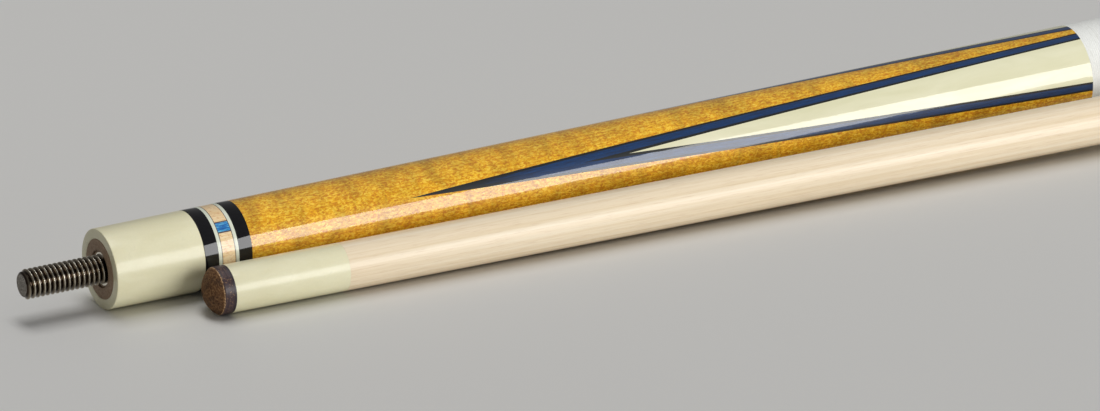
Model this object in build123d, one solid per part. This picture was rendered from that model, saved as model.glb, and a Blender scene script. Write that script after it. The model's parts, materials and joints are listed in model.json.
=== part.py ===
"""Two-piece pool cue, taken apart: the butt half and the shaft half lie side by side on a table.

Each half is turned about its own axis in a frame of its own. The butt runs from its joint face at x = 0
towards its cap; the shaft runs from the crown of its tip at x = 0 towards its joint face. place_butt and
place_shaft then lay both on the plane z = 0, and main centres the pair over the origin.
Millimetres, +Z up, +X from the joint end of the butt towards its cap.
"""

from build123d import *
import os
from math import atan, cos, degrees, sin, sqrt

# ---------------------------------------------------------------- the butt's turned outline
JOINT_R = 10.7              # radius of both halves where they meet
BUTT_TAPER = 0.0067         # radius gained per mm from the joint to the cap
BUTT_LENGTH = 736.6         # joint face to the end of the cap, 29 inches
EDGE = 0.4                  # small chamfer on the outer corners of collars, cap and bumper

# ---------------------------------------------------------------- joint pin, a 5/16-18 stud
PIN_R = 3.97                # major radius of the thread
PIN_OUT = 22.3              # how far it stands out of the joint face
PIN_IN = 38.0               # how far it is bonded into the forearm
PIN_POINT = 0.9             # chamfer on its free end
PIN_SHANK_R = 4.4           # the end bonded into the forearm is a little thicker
PIN_RECESS_R = 5.0          # shallow recess around the pin in the joint face
PIN_RECESS = 0.6

# ---------------------------------------------------------------- joint collar and ring work
COLLAR_LENGTH = 25.4
TENON_R = 8.0               # wood tenon that carries the collar and the rings
RING_BLACK = 3.8
RING_WHITE = 0.95
RING_LINE = 0.2             # thin dark washer between a white ring and the inlaid ring
RING_INLAID = 3.55          # ring of maple segments and blue blocks
BLOCK_COUNT = 4
BLOCK_WIDTH = 2.65          # blue block, across
LINER = 0.35                # dark liner on both sides of a block
BLOCK_ANGLE = 46.4          # first block, degrees up from the side of the butt that faces -Y

# ---------------------------------------------------------------- forearm and its spliced points
WRAP_START = 292.0
POINT_COUNT = 4
POINT_TIP = 85.5            # where the outermost veneer comes to its sharp tip
POINT_RISE = 0.0475         # the groove's root nears the axis by this much per mm
POINT_ANGLE = 32.2          # first point, degrees up from the side that faces -Y
VENEER_LAYERS = {"outer": 0.5, "blue": 1.5, "inner": 0.5}
ROOT2 = sqrt(2)             # in a 90 degree groove a layer lifts the root by its thickness times this

# ---------------------------------------------------------------- handle, wrap and joining screw
WRAP_END = 596.8
WRAP_THICKNESS = 0.7
SCREW_R = 4.76              # 3/8 inch joining screw between forearm and handle
SCREW_START = 262.0
SCREW_END = 322.0
HANDLE_TENON_R = 9.0
HANDLE_TENON = 40.0

# ---------------------------------------------------------------- butt sleeve, cap, weight bolt and bumper
CAP_START = 711.2
CAP_RING = 0.95             # black ring between the sleeve and the cap
BOLT_R = 6.35               # 1/2 inch weight bolt
BOLT_START = 645.0
BOLT_END = 685.0
BOLT_HEX = 2.75             # inscribed radius of the hexagon socket
BOLT_HEX_DEPTH = 6.0
BUMPER_R = 12.5
BUMPER_OUT = 9.0
BUMPER_STEM_R = 6.3
BUMPER_STEM = 22.0
BUMPER_WALL = 3.5           # rubber left around the dished end
BUMPER_DISH = 3.0

# ---------------------------------------------------------------- shaft half
SHAFT_LENGTH = 736.6        # crown of the tip to the joint face, 29 inches
TIP_R = 6.38
TIP_CROWN = 3.3             # height of the domed crown
TIP_SIDE = 2.6              # straight side below it
PAD = 0.65                  # fibre pad between tip and ferrule
FERRULE_LENGTH = 32.6
FERRULE_CAP = 6.0           # solid front of the ferrule
FERRULE_TENON_R = 4.0
STRAIGHT_RUN = 330.0        # the shaft keeps its tip radius this far, then tapers up
SHAFT_COLLAR = 12.7
INSERT_R = 5.5              # brass insert, outside
INSERT_BORE_R = 3.3         # minor radius of its 5/16-18 thread
INSERT_LENGTH = 25.0
INSERT_LEAD = 0.8           # chamfered lead-in at its mouth
RELIEF_R = 4.2              # drilled relief in the wood behind the insert
RELIEF_DEPTH = 8.0

# ---------------------------------------------------------------- how the halves lie
SHAFT_TIP_X = 20.4          # crown of the tip, along from the butt's joint face
SHAFT_TIP_Y = -19.3         # crown of the tip, across from the butt's axis
SHAFT_HEADING = -1.62       # degrees that the shaft swings away from the butt

REACH = 40.0                # larger than any radius, for cutting tools


def butt_radius(x):
    return JOINT_R + BUTT_TAPER * x


def shaft_radius(x):
    taper = (JOINT_R - TIP_R) / (SHAFT_LENGTH - STRAIGHT_RUN)
    return TIP_R + max(0.0, x - STRAIGHT_RUN) * taper


def turned(*outline):
    """A solid of revolution about X from corners given as (x, radius)."""
    corners = [(x, r, 0) for x, r in outline]
    return revolve(make_face(Polyline(*corners, close=True)), Axis.X)


def rod(x0, x1, radius):
    return turned((x0, 0), (x0, radius), (x1, radius), (x1, 0))


def sleeve(x0, x1, bore, radius_at):
    """A tube whose outside follows radius_at from x0 to x1."""
    return turned((x0, bore), (x0, radius_at(x0)), (x1, radius_at(x1)), (x1, bore))


def group(*shapes):
    """Separate solids that share one node."""
    return Compound([solid for shape in shapes for solid in shape.solids()])


def around(shape, degrees_up):
    """Turn a shape made on the side that faces -Y up around the axis."""
    return shape.rotate(Axis.X, -degrees_up)


# ================================================================ ring work, the same on every joint
def ring_stack(start, step, radius_at, bore):
    """Rings along the axis from start, in the direction of step (+1 or -1), away from a collar."""
    widths = [
        ("black_front", RING_BLACK),
        ("white_front", RING_WHITE),
        ("line_front", RING_LINE),
        ("inlaid", RING_INLAID),
        ("line_rear", RING_LINE),
        ("white_rear", RING_WHITE),
        ("black_rear", RING_BLACK),
    ]
    rings = {}
    here = start
    for name, width in widths:
        there = here + step * width
        rings[name] = sleeve(min(here, there), max(here, there), bore, radius_at)
        here = there
    inlaid = rings.pop("inlaid")
    blocks, liners, segments = inlay(inlaid)
    return rings, blocks, liners, segments, here


def slab(middle, width):
    """A cutting slab of this width, reaching out from the axis on the -Y side."""
    return Pos(middle, -REACH / 2, 0) * Box(REACH, REACH, width)


def inlay(ring):
    """Split a ring into blue blocks, the liners beside them and the maple segments between."""
    box = ring.bounding_box()
    middle = (box.min.X + box.max.X) / 2
    blocks, liners, slots = [], [], []
    for k in range(BLOCK_COUNT):
        angle = BLOCK_ANGLE + 360 / BLOCK_COUNT * k
        block_slab = around(slab(middle, BLOCK_WIDTH), angle)
        full_slab = around(slab(middle, BLOCK_WIDTH + 2 * LINER), angle)
        blocks += (ring & block_slab).solids()
        liners += ((ring & full_slab) - block_slab).solids()
        slots.append(full_slab)
    segments = ring
    for slot in slots:
        segments -= slot
    return blocks, liners, segments.solids()


# ================================================================ butt half
def joint_pin():
    return turned(
        (-PIN_OUT, 0),
        (-PIN_OUT, PIN_R - PIN_POINT),
        (-PIN_OUT + PIN_POINT, PIN_R),
        (PIN_RECESS, PIN_R),
        (PIN_RECESS, PIN_SHANK_R),
        (PIN_IN, PIN_SHANK_R),
        (PIN_IN, 0),
    )


def joint_collar():
    return turned(
        (0, TENON_R),
        (0, butt_radius(0) - EDGE),
        (EDGE, butt_radius(EDGE)),
        (COLLAR_LENGTH, butt_radius(COLLAR_LENGTH)),
        (COLLAR_LENGTH, TENON_R),
    )


def point_wedge(lift):
    """The 90 degree groove of a point on the -Y side, its root raised by lift for the layers inside it."""
    start = POINT_TIP - 10
    length = WRAP_START - start
    root = butt_radius(POINT_TIP) + lift + POINT_RISE * (POINT_TIP - start)
    corners = [(start, -root, 0), (start, -root - REACH, REACH), (start, -root - REACH, -REACH)]
    section = make_face(Polyline(*corners, close=True)).face()
    return Solid.extrude(section, Vector(length, POINT_RISE * length, 0))


def point_layers():
    """The layers of one point, from the outermost veneer in to the ivory-coloured prong."""
    taper = sleeve(POINT_TIP - 5, WRAP_START, 0, butt_radius)
    layers = {}
    lift = 0.0
    outside = taper & point_wedge(lift)
    for name, thickness in VENEER_LAYERS.items():
        lift += thickness * ROOT2
        inside = taper & point_wedge(lift)
        layers["point_veneer_" + name] = outside - inside
        outside = inside
    layers["point"] = outside
    return layers


def forearm(rings_end):
    """Maple forearm with the tenon for collar and rings, grooved for the points."""
    body = turned(
        (0, 0),
        (0, TENON_R),
        (rings_end, TENON_R),
        (rings_end, butt_radius(rings_end)),
        (WRAP_START, butt_radius(WRAP_START)),
        (WRAP_START, 0),
    )
    body -= rod(0, PIN_IN, PIN_SHANK_R) + rod(0, PIN_RECESS, PIN_RECESS_R)
    groove = point_wedge(0)
    for k in range(POINT_COUNT):
        body -= around(groove, POINT_ANGLE + 360 / POINT_COUNT * k)
    return body - joint_screw()


def joint_screw():
    return rod(SCREW_START, SCREW_END, SCREW_R)


def handle():
    """Handle under the wrap, with the tenon that carries the rear rings and the sleeve."""
    body = turned(
        (WRAP_START, 0),
        (WRAP_START, butt_radius(WRAP_START) - WRAP_THICKNESS),
        (WRAP_END, butt_radius(WRAP_END) - WRAP_THICKNESS),
        (WRAP_END, HANDLE_TENON_R),
        (WRAP_END + HANDLE_TENON, HANDLE_TENON_R),
        (WRAP_END + HANDLE_TENON, 0),
    )
    return body - joint_screw()


def wrap():
    return turned(
        (WRAP_START, butt_radius(WRAP_START) - WRAP_THICKNESS),
        (WRAP_START, butt_radius(WRAP_START)),
        (WRAP_END, butt_radius(WRAP_END)),
        (WRAP_END, butt_radius(WRAP_END) - WRAP_THICKNESS),
    )


def butt_sleeve(rings_end):
    """Sleeve with a socket for the handle's tenon and a bore for the weight bolt."""
    end = CAP_START - CAP_RING
    body = sleeve(rings_end, end, 0, butt_radius)
    body -= rod(rings_end, WRAP_END + HANDLE_TENON, HANDLE_TENON_R)
    return body - rod(BOLT_START, end, BOLT_R)


def butt_cap():
    return turned(
        (CAP_START, BOLT_R),
        (CAP_START, butt_radius(CAP_START)),
        (BUTT_LENGTH - EDGE, butt_radius(BUTT_LENGTH - EDGE)),
        (BUTT_LENGTH, butt_radius(BUTT_LENGTH) - EDGE),
        (BUTT_LENGTH, BOLT_R),
    )


def weight_bolt():
    body = rod(BOLT_START, BOLT_END, BOLT_R)
    socket = Pos(BOLT_END - BOLT_HEX_DEPTH, 0, 0) * Rot(0, 90, 0) * extrude(
        RegularPolygon(BOLT_HEX, 6, major_radius=False), BOLT_HEX_DEPTH
    )
    return body - socket


def bumper():
    """Push-in rubber bumper: a dished head on a plain stem."""
    end = BUTT_LENGTH + BUMPER_OUT
    return turned(
        (BUTT_LENGTH - BUMPER_STEM, 0),
        (BUTT_LENGTH - BUMPER_STEM, BUMPER_STEM_R),
        (BUTT_LENGTH, BUMPER_STEM_R),
        (BUTT_LENGTH, BUMPER_R),
        (end - 3 * EDGE, BUMPER_R),
        (end, BUMPER_R - 3 * EDGE),
        (end, BUMPER_R - BUMPER_WALL),
        (end - BUMPER_DISH, BUMPER_R - BUMPER_WALL - BUMPER_DISH),
        (end - BUMPER_DISH, 0),
    )


def butt_nodes():
    nodes = {"joint_pin": joint_pin(), "joint_collar": joint_collar()}
    rings, blocks, liners, segments, front_end = ring_stack(COLLAR_LENGTH, 1, butt_radius, TENON_R)
    nodes["ring_lines"] = group(rings.pop("line_front"), rings.pop("line_rear"))
    nodes.update({"ring_" + name: ring for name, ring in rings.items()})
    nodes.update({f"ring_blue_{k + 1}": block for k, block in enumerate(blocks)})
    nodes.update({f"ring_maple_{k + 1}": segment for k, segment in enumerate(segments)})
    nodes["ring_liners"] = group(*liners)
    nodes["forearm"] = forearm(front_end)

    screw = joint_screw()
    for name, layer in point_layers().items():
        for k in range(POINT_COUNT):
            nodes[f"{name}_{k + 1}"] = around(layer, POINT_ANGLE + 360 / POINT_COUNT * k) - screw

    nodes["wrap"] = wrap()
    nodes["handle"] = handle()
    nodes["joint_screw"] = screw
    rings, blocks, liners, segments, rear_end = ring_stack(WRAP_END, 1, butt_radius, HANDLE_TENON_R)
    add_ring_groups(nodes, "sleeve_ring", rings, blocks, liners, segments)
    nodes["butt_sleeve"] = butt_sleeve(rear_end)
    nodes["cap_ring"] = sleeve(CAP_START - CAP_RING, CAP_START, BOLT_R, butt_radius)
    nodes["butt_cap"] = butt_cap()
    nodes["weight_bolt"] = weight_bolt()
    return nodes


def add_ring_groups(nodes, prefix, rings, blocks, liners, segments):
    """One node for each kind of ring, with its identical pieces as separate solids."""
    nodes[prefix + "_black"] = group(rings["black_front"], rings["black_rear"])
    nodes[prefix + "_white"] = group(rings["white_front"], rings["white_rear"])
    nodes[prefix + "_dark"] = group(rings["line_front"], rings["line_rear"], *liners)
    nodes[prefix + "_blue"] = group(*blocks)
    nodes[prefix + "_maple"] = group(*segments)


# ================================================================ shaft half
def tip():
    """Leather tip: straight side and a domed crown."""
    crown_r = (TIP_R**2 + TIP_CROWN**2) / (2 * TIP_CROWN)
    half = asin_half(TIP_R / crown_r)
    midway = (crown_r * (1 - cos(half)), crown_r * sin(half), 0)
    base = TIP_CROWN + TIP_SIDE
    outline = [
        ThreePointArc((0, 0, 0), midway, (TIP_CROWN, TIP_R, 0)),
        Line((TIP_CROWN, TIP_R, 0), (base, TIP_R, 0)),
        Line((base, TIP_R, 0), (base, 0, 0)),
        Line((base, 0, 0), (0, 0, 0)),
    ]
    return revolve(make_face(outline), Axis.X)


def asin_half(sine):
    """Half of the angle with this sine."""
    return atan(sine / sqrt(1 - sine**2)) / 2


def ferrule(start):
    end = start + FERRULE_LENGTH
    return turned(
        (start, 0),
        (start, TIP_R),
        (end, TIP_R),
        (end, FERRULE_TENON_R),
        (start + FERRULE_CAP, FERRULE_TENON_R),
        (start + FERRULE_CAP, 0),
    )


def shaft_wood(ferrule_start, rings_start):
    """Maple shaft with its front tenon in the ferrule and its rear tenon in rings and collar."""
    body = turned(
        (ferrule_start + FERRULE_CAP, 0),
        (ferrule_start + FERRULE_CAP, FERRULE_TENON_R),
        (ferrule_start + FERRULE_LENGTH, FERRULE_TENON_R),
        (ferrule_start + FERRULE_LENGTH, TIP_R),
        (STRAIGHT_RUN, TIP_R),
        (rings_start, shaft_radius(rings_start)),
        (rings_start, TENON_R),
        (SHAFT_LENGTH, TENON_R),
        (SHAFT_LENGTH, 0),
    )
    insert_start = SHAFT_LENGTH - INSERT_LENGTH
    body -= rod(insert_start, SHAFT_LENGTH, INSERT_R)
    return body - rod(insert_start - RELIEF_DEPTH, insert_start, RELIEF_R)


def shaft_insert():
    """Threaded brass insert, open at both ends, with a chamfered mouth."""
    start = SHAFT_LENGTH - INSERT_LENGTH
    return turned(
        (start, INSERT_BORE_R),
        (start, INSERT_R),
        (SHAFT_LENGTH, INSERT_R),
        (SHAFT_LENGTH, INSERT_BORE_R + INSERT_LEAD),
        (SHAFT_LENGTH - INSERT_LEAD, INSERT_BORE_R),
    )


def shaft_collar():
    start = SHAFT_LENGTH - SHAFT_COLLAR
    return turned(
        (start, TENON_R),
        (start, shaft_radius(start)),
        (SHAFT_LENGTH - EDGE, shaft_radius(SHAFT_LENGTH - EDGE)),
        (SHAFT_LENGTH, shaft_radius(SHAFT_LENGTH) - EDGE),
        (SHAFT_LENGTH, TENON_R),
    )


def shaft_nodes():
    pad_start = TIP_CROWN + TIP_SIDE
    ferrule_start = pad_start + PAD
    collar_start = SHAFT_LENGTH - SHAFT_COLLAR
    nodes = {
        "tip": tip(),
        "tip_pad": rod(pad_start, ferrule_start, TIP_R),
        "ferrule": ferrule(ferrule_start),
    }
    rings, blocks, liners, segments, rings_start = ring_stack(collar_start, -1, shaft_radius, TENON_R)
    nodes["shaft"] = shaft_wood(ferrule_start, rings_start)
    add_ring_groups(nodes, "shaft_ring", rings, blocks, liners, segments)
    nodes["shaft_collar"] = shaft_collar()
    nodes["shaft_insert"] = shaft_insert()
    return nodes


# ================================================================ laying the halves on the table
def place_butt(shape):
    """Tilt the butt by its taper, so that it rests along its whole underside."""
    tilt = atan(BUTT_TAPER)
    return Pos(0, 0, JOINT_R * cos(tilt)) * Rot(0, -degrees(tilt), 0) * shape


def place_shaft(shape):
    """Lay the shaft on the side of its tip and on its joint end, beside the butt."""
    tilt = atan((JOINT_R - TIP_R) / (SHAFT_LENGTH - EDGE - TIP_CROWN))
    crown_z = TIP_R * cos(tilt) - TIP_CROWN * sin(tilt)
    lean = Rot(0, 0, SHAFT_HEADING) * Rot(0, -degrees(tilt), 0)
    return Pos(SHAFT_TIP_X, SHAFT_TIP_Y, crown_z) * lean * shape


def main():
    nodes = {name: place_butt(shape) for name, shape in butt_nodes().items()}
    nodes["bumper"] = place_butt(bumper())
    nodes.update({name: place_shaft(shape) for name, shape in shaft_nodes().items()})
    box = group(*nodes.values()).bounding_box()
    centre = Pos(-(box.min.X + box.max.X) / 2, -(box.min.Y + box.max.Y) / 2, -box.min.Z)
    os.makedirs("parts", exist_ok=True)
    for name, shape in nodes.items():
        export_step(group(centre * shape), f"parts/{name}.step")
    print(len(nodes), "nodes", box.size, "centre", centre.position)


main()
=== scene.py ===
"""Looks of a two-piece pool cue, taken apart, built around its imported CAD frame.

Every turned piece is rebuilt finely from its own CAD node: where it starts and ends along its half of the
cue, and its radii there. Lengths are in millimetres and angles in radians; meshes are written in metres.
"""

import json
import math
from collections import namedtuple

import bmesh
import bpy
from mathutils import Matrix, Vector, noise

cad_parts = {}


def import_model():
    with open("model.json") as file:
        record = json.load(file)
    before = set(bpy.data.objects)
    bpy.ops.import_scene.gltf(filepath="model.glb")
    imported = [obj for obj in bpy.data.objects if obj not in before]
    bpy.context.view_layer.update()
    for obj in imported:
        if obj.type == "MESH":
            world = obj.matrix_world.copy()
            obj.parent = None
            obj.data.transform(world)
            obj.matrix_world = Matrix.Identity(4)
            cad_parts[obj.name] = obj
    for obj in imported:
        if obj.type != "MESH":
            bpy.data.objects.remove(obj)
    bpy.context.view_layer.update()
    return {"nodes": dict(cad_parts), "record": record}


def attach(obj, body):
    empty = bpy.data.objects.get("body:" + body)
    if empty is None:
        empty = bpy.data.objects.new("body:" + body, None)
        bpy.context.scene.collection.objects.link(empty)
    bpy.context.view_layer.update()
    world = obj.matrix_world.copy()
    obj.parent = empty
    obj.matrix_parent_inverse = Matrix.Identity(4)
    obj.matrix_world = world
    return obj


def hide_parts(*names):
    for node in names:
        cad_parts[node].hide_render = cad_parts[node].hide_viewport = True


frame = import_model()
MOUNTS = {mount["name"]: mount for mount in frame["record"]["mounts"]}
SLOTS = {part["node"]: part["material_slot"] for part in frame["record"]["subparts"]}

MM = 0.001
TURN = 2 * math.pi
NEAR = 0.03                 # two CAD points this close along the axis are on the same edge
SAME_POINT = 1e-7           # metres: mesh points closer than this are merged
NO_LENGTH = 1e-8            # metres: mesh edges shorter than this are dropped
LAYERS = ("point_veneer_outer", "point_veneer_blue", "point_veneer_inner", "point")
POINTS = (1, 2, 3, 4)

# Facets
STEPS = 160                 # around a turned piece
THREAD_STEPS = 96           # around a thread
CORD_STEPS = 80             # around the wrap
CORNER_STEPS = 4            # around a rounded corner
SECTOR_STEPS = 4            # across the narrowest part of an inlaid ring
PANEL_STEPS = 44            # across the forearm between two points
LAYER_STEPS = 6             # across one edge of a point's layer
LENGTH_STEP = 3.0           # from one section of a tapered piece to the next
SHARP = 30                  # edges sharper than this many degrees stay crisp
RIDGE_SHARP = 50            # the same on threads and on the tip
CORD_SHARP = 60

# Rounding of outer corners
CORNER_SHARE = 0.45         # a corner takes at most this share of the edges beside it
CORNER = 0.12
RING_CORNER = 0.02
COLLAR_CORNER = 0.32
CAP_CORNER = 0.6
PAD_CORNER = 0.03
FERRULE_CORNER = 0.05
BUMPER_CORNER = 0.5

# Threads, windings, rings and wood
PIN_PITCH = 25.4 / 18       # 5/16-18 thread
THREAD_DEPTH = 0.613 * PIN_PITCH
PIN_END = (                 # the sawn end of the pin: (how deep it dips, radius)
    (0.12, 0.0), (0.1, 0.5), (0.03, 1.4), (0.07, 2.2), (0.0, 2.9)
)
PIN_SAWN = 0.3              # the sawn look stops this far inside the thread's root
CORD_PITCH = 0.62           # turns of linen on the handle
CORD_DEPTH = 0.07
WASHER = 1.0                # a dark solid shorter than this is a whole thin ring, and not a block's liner
SHAFT_BLEND = 60.0          # length over which the shaft's straight run eases into its taper
DARK_TIP = 26.0             # the blue veneers start almost black, and clear over this length

# Leather tip
TIP_STEPS = 26              # rows of its dome
TIP_ROW = 0.3               # from one row of its side to the next
TIP_EDGE = 0.12             # roundness of its edge
TIP_ROUGH = 0.05            # depth of the dome's nap
TIP_SIDE = 0.35             # the side's share of that depth
TIP_INSET = 1.5             # keeps the nap inside the CAD shape
TIP_COARSE = 0.9            # size of the larger unevenness
TIP_FINE = 0.35             # size of the smaller
TIP_PLAIN = 0.2             # the side stays plain this close to the pad
TIP_CENTRE = 0.01           # points this close to the axis stay where they are

# Rubber bumper
STEM_CHAMFER = 0.6
BUMPER_STEP = 2.2           # length of the band that sits against the cap
BUMPER_EDGE = (0.4, 0.5)    # length and depth of the chamfer behind the band
BUMPER_DISH = 3.0           # depth of the dish in the end
BUMPER_HEAD = (             # from the band into the dish: (back from the end, in from the rim)
    (1.6, 0.7), (0.5, 1.2), (0.0, 2.4), (0.0, 3.5), (0.8, 4.4), (BUMPER_DISH, 6.5)
)

# Studio: metres, but the camera's place is in millimetres from the point of the floor under the joint face
FLOOR_REACH = 15
WORLD_BRIGHTNESS = 0.2
CAMERA_FROM_JOINT = (-1065.7, -2264.8, 938.3)
CAMERA_YAW = 0.4865         # radians from +Y towards +X
CAMERA_DOWN = 0.3498        # radians below level
CAMERA_ROLL = -0.0166
CAMERA_LENS = 337.27        # millimetres, as the sensor is
CAMERA_SENSOR = 36
CAMERA_CLIP = (0.05, 100)

MIX_A, MIX_B, MIX_RESULT = 6, 7, 2      # the colour sockets of a Mix node


# ================================================================ the two halves, measured on the CAD
Solid = namedtuple("Solid", "x0 x1 r0 r1 bore points")


class Half:
    """One half of the cue in its own frame: x along its axis, angles up from the side that faces -Y."""

    def __init__(self, body, mount, sign, first_node):
        place = MOUNTS[mount]
        ahead = sign * Vector(place["axis"]).normalized()
        aside = Vector((0, 0, 1)).cross(ahead).normalized()
        turn = Matrix((ahead, aside, ahead.cross(aside))).transposed().to_4x4()
        self.body = body
        self.matrix = Matrix.Translation(place["pos_m"]) @ turn
        start = min(solid.x0 for solid in self.solids(first_node))
        self.matrix = self.matrix @ Matrix.Translation((start * MM, 0, 0))

    def solids(self, node):
        """The separate solids of a CAD node, in order along the axis and around it."""
        mesh = bmesh.new()
        mesh.from_mesh(frame["nodes"][node].data)
        bmesh.ops.remove_doubles(mesh, verts=mesh.verts, dist=SAME_POINT)
        to_half = self.matrix.inverted()
        unseen = set(mesh.verts)
        found = []
        while unseen:
            reached = [unseen.pop()]
            for vert in reached:
                for edge in vert.link_edges:
                    other = edge.other_vert(vert)
                    if other in unseen:
                        unseen.remove(other)
                        reached.append(other)
            found.append(measured([to_half @ vert.co / MM for vert in reached]))
        mesh.free()
        return sorted(found, key=lambda solid: (round(solid.x0, 1), middle_angle(solid)))

    def solid(self, node):
        """The only solid of a CAD node, or its first."""
        return self.solids(node)[0]


def measured(points):
    """Where a solid starts and ends along the axis, its outer radii there, and its bore."""
    polar = [(p.x, math.hypot(p.y, p.z), math.atan2(p.z, -p.y)) for p in points]
    x0 = min(x for x, _, _ in polar)
    x1 = max(x for x, _, _ in polar)
    r0 = max(r for x, r, _ in polar if x < x0 + NEAR)
    r1 = max(r for x, r, _ in polar if x > x1 - NEAR)
    bore = min(r for _, r, _ in polar)
    return Solid(x0, x1, r0, r1, bore, polar)


def middle_angle(solid):
    """The direction of a solid's middle around the axis, from 0 to a full turn."""
    y = sum(r * math.cos(angle) for _, r, angle in solid.points)
    z = sum(r * math.sin(angle) for _, r, angle in solid.points)
    return math.atan2(z, y) % TURN


def line(x0, y0, x1, y1):
    """The straight line through two points, as a function."""
    slope = (y1 - y0) / (x1 - x0)
    return lambda x: y0 + slope * (x - x0)


BUTT = Half("butt", "joint_pin", -1, "joint_collar")
SHAFT = Half("shaft", "shaft_insert", 1, "tip")
BUMPER = Half("bumper", "joint_pin", -1, "bumper")
BUMPER.matrix = BUTT.matrix.copy()

wrap = BUTT.solid("wrap")
butt_radius = line(wrap.x0, wrap.r0, wrap.x1, wrap.r1)
blue_tips = BUTT.solid("point_veneer_blue_1").x0
leather = SHAFT.solid("tip")
tip_radius = SHAFT.solid("tip_pad").r0
crown = min(x for x, r, _ in leather.points if r > tip_radius - NEAR)
shaft_rings = SHAFT.solids("shaft_ring_black")
shaft_taper = line(shaft_rings[0].x0, shaft_rings[0].r0, shaft_rings[-1].x1, shaft_rings[-1].r1)


def shaft_radius(x):
    """Straight behind the tip, then easing into the taper to the joint."""
    rise = shaft_taper(x) - tip_radius
    ease = SHAFT_BLEND * (shaft_taper(1) - shaft_taper(0))
    if rise <= -ease:
        return tip_radius
    if rise >= ease:
        return tip_radius + rise
    return tip_radius + (rise + ease) ** 2 / (4 * ease)


# ================================================================ mesh helpers
def spot(x, radius, angle):
    """A point in a half's frame, in metres."""
    return Vector((x, -radius * math.cos(angle), radius * math.sin(angle))) * MM


def finish_piece(name, half, mesh, slot, nodes, sharp=SHARP):
    """Turn a bmesh into a piece of this half that stands for its CAD nodes."""
    bmesh.ops.remove_doubles(mesh, verts=mesh.verts, dist=SAME_POINT)
    bmesh.ops.dissolve_degenerate(mesh, edges=mesh.edges, dist=NO_LENGTH)
    bmesh.ops.recalc_face_normals(mesh, faces=mesh.faces)
    data = bpy.data.meshes.new(name)
    mesh.to_mesh(data)
    mesh.free()
    data.shade_smooth()
    data.set_sharp_from_angle(angle=math.radians(sharp))
    data.materials.append(MATERIALS[slot])
    piece = bpy.data.objects.new(name, data)
    bpy.context.scene.collection.objects.link(piece)
    piece.matrix_world = half.matrix
    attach(piece, half.body)
    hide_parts(*nodes)


def add_loft(mesh, rings, closed=False, caps=True):
    """Join rings of points into a tube; closed joins the last ring to the first, caps fill the ends."""
    rows = [[mesh.verts.new(point) for point in ring] for ring in rings]
    count = len(rows[0])
    pairs = list(zip(rows, rows[1:])) + ([(rows[-1], rows[0])] if closed else [])
    for near, far in pairs:
        for k in range(count):
            mesh.faces.new((near[k], near[(k + 1) % count], far[(k + 1) % count], far[k]))
    if caps and not closed:
        mesh.faces.new(rows[0])
        mesh.faces.new(rows[-1])


def soften(outline, radius, closed):
    """Round the corners of an (x, radius) outline; corners on the axis stay."""
    soft = []
    count = len(outline)
    for k, corner in enumerate(outline):
        here = Vector(corner)
        if (not closed and k in (0, count - 1)) or here.y == 0:
            soft.append(tuple(here))
            continue
        before = Vector(outline[k - 1]) - here
        after = Vector(outline[(k + 1) % count]) - here
        reach = min(radius, before.length * CORNER_SHARE, after.length * CORNER_SHARE)
        start = here + before.normalized() * reach
        end = here + after.normalized() * reach
        for step in range(CORNER_STEPS + 1):
            t = step / CORNER_STEPS
            soft.append(tuple((1 - t) ** 2 * start + 2 * t * (1 - t) * here + t * t * end))
    return soft


def circle(x, radius, steps):
    """A ring of points about the axis."""
    return [spot(x, radius, TURN * step / steps) for step in range(steps)]


def add_turned(mesh, outline, closed=True):
    """Turn an outline about the axis. An open outline starts and ends on the axis."""
    add_loft(mesh, [circle(x, radius, STEPS) for x, radius in outline], closed=closed, caps=False)


def turned(name, half, outline, slot, nodes, corner=CORNER):
    """A piece turned from an outline that starts and ends on the axis."""
    mesh = bmesh.new()
    add_turned(mesh, soften(outline, corner, closed=False), closed=False)
    finish_piece(name, half, mesh, slot, nodes)


def along(x0, x1, step):
    """Evenly spaced places from x0 to x1, about step apart."""
    count = max(1, round((x1 - x0) / step))
    return [x0 + (x1 - x0) * k / count for k in range(count + 1)]


def tube_outline(solid, radius_at):
    """The outline of a tube with the solid's ends and bore; radius_at gives its outside at each end."""
    return [
        (solid.x0, solid.bore),
        (solid.x0, radius_at(solid.x0)),
        (solid.x1, radius_at(solid.x1)),
        (solid.x1, solid.bore),
    ]


# ================================================================ material helpers
def tone(red, green, blue):
    """A linear colour from the usual 0 to 255 screen values."""
    def linear(value):
        value /= 255
        return value / 12.92 if value <= 0.04045 else ((value + 0.055) / 1.055) ** 2.4
    return (linear(red), linear(green), linear(blue), 1.0)


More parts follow.
